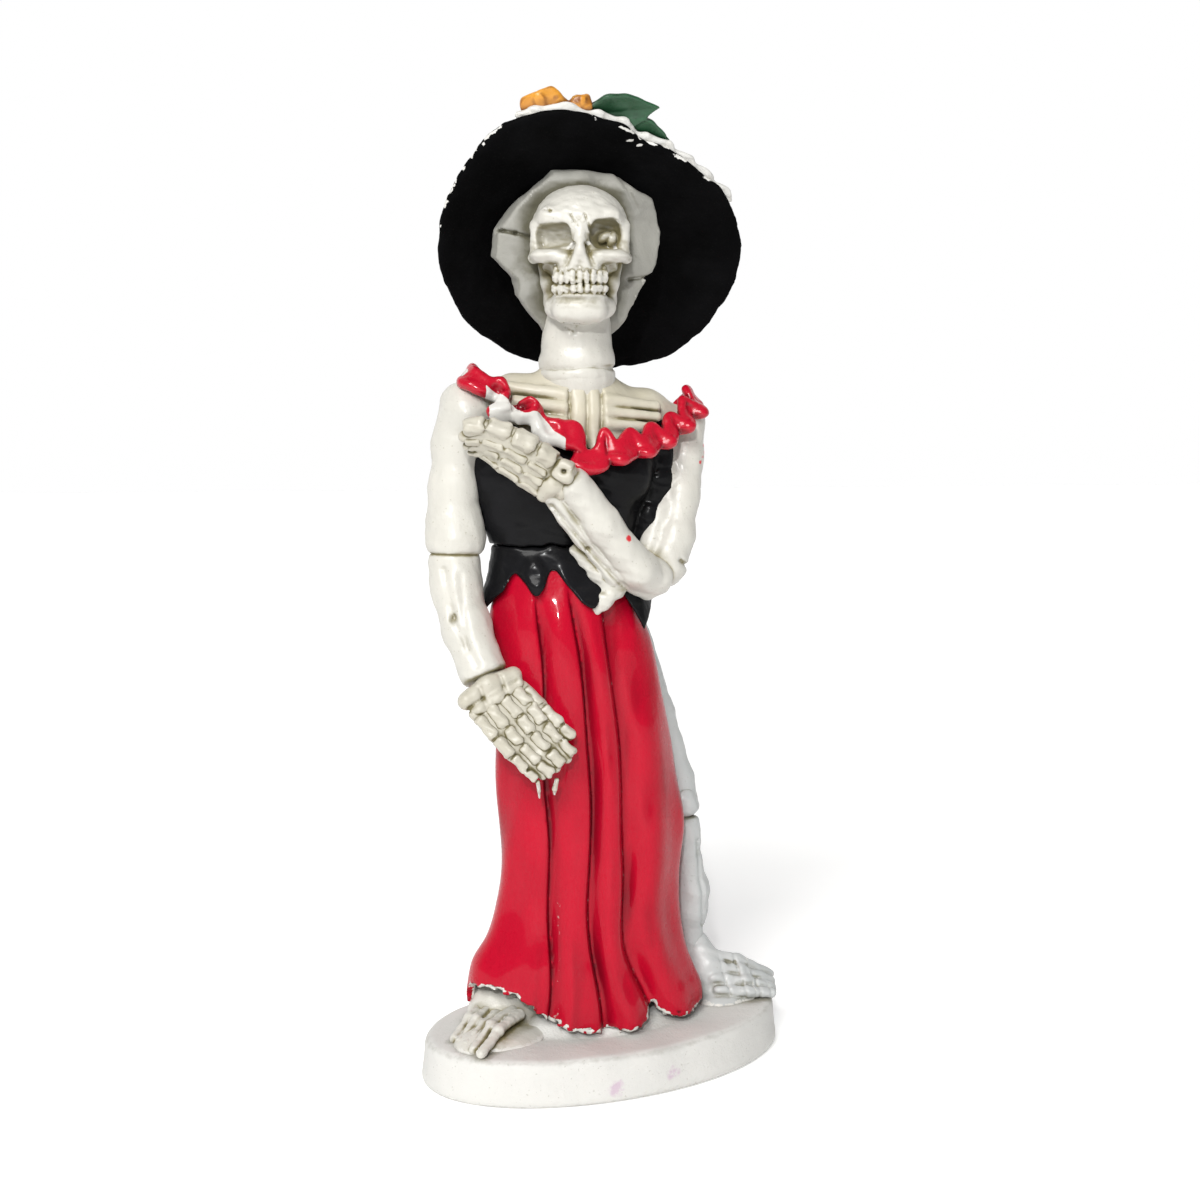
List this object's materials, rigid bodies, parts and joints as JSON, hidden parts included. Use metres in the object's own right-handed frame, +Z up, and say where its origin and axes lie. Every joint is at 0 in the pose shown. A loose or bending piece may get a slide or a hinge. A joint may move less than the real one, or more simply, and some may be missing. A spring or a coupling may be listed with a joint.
{
  "type": "catrina figurine",
  "caption": "Standing skeleton lady in a wide hat, off-shoulder frill, bodice and long skirt, hand-painted papier-mache on an oval plinth.",
  "frame": {"origin": "middle of the plinth's flat underside", "axes": "+Z up through the figure; the figure faces -Y; +X is the figure's own left"},
  "size_m": [0.1279, 0.0819, 0.3172],
  "materials": {
    "plinth_chalk": "matte chalk-white ground with scuffs",
    "armature_wire": "annealed wire",
    "bone_white": "satin ivory paint with olive-brown antiquing in the grooves",
    "raw_pulp": "unpainted paper pulp",
    "skirt_red": "glossy crimson paint with darker folds",
    "frill_red": "glossy crimson paint",
    "bodice_black": "satin black paint",
    "hat_black": "satin black paint",
    "band_red": "glossy crimson paint",
    "lace_white": "matte white paint",
    "hair_grey": "matte grey-beige wash",
    "bloom_eye": "matte yellow paint",
    "petal_ochre": "matte orange-ochre paint",
    "leaf_green": "matte green paint"
  },
  "bodies": {
    "root": {"plinth": "plinth_chalk", "left_leg_wire": "armature_wire", "right_leg_wire": "armature_wire", "spine_wire": "armature_wire", "right_arm_wire": "armature_wire", "left_arm_wire": "armature_wire", "right_toes": "bone_white", "right_foot": "bone_white", "left_toes": "bone_white", "left_foot": "bone_white", "left_knee": "bone_white", "left_thigh": "bone_white", "left_shin": "bone_white", "sternum": "bone_white", "right_clavicle": "bone_white", "right_ribs": "bone_white", "left_clavicle": "bone_white", "left_ribs": "bone_white", "neck": "bone_white", "neck_rings": "bone_white", "upper_teeth": "bone_white", "lower_teeth": "bone_white", "skull": "bone_white", "lower_jaw": "bone_white", "right_upper_arm": "bone_white", "right_forearm": "bone_white", "left_upper_arm": "bone_white", "left_forearm": "bone_white", "right_carpals": "bone_white", "right_index_finger": "bone_white", "right_middle_finger": "bone_white", "right_ring_finger": "bone_white", "right_little_finger": "bone_white", "right_palm": "bone_white", "right_thumb": "bone_white", "left_carpals": "bone_white", "left_index_finger": "bone_white", "left_middle_finger": "bone_white", "left_ring_finger": "bone_white", "left_little_finger": "bone_white", "left_palm": "bone_white", "left_thumb": "bone_white", "right_leg_core": "raw_pulp", "torso_core": "bone_white", "pelvis": "raw_pulp", "skirt": "skirt_red", "ruffle_collar": "frill_red", "bodice": "bodice_black", "peplum": "bodice_black", "hat_brim": "hat_black", "hat_crown": "hat_black", "hat_band": "band_red", "lace_trim": "lace_white", "hair_hood": "hair_grey", "flower_eyes": "bloom_eye", "flower_petals": "petal_ochre", "flower_leaves": "leaf_green"}
  },
  "joints": []
}
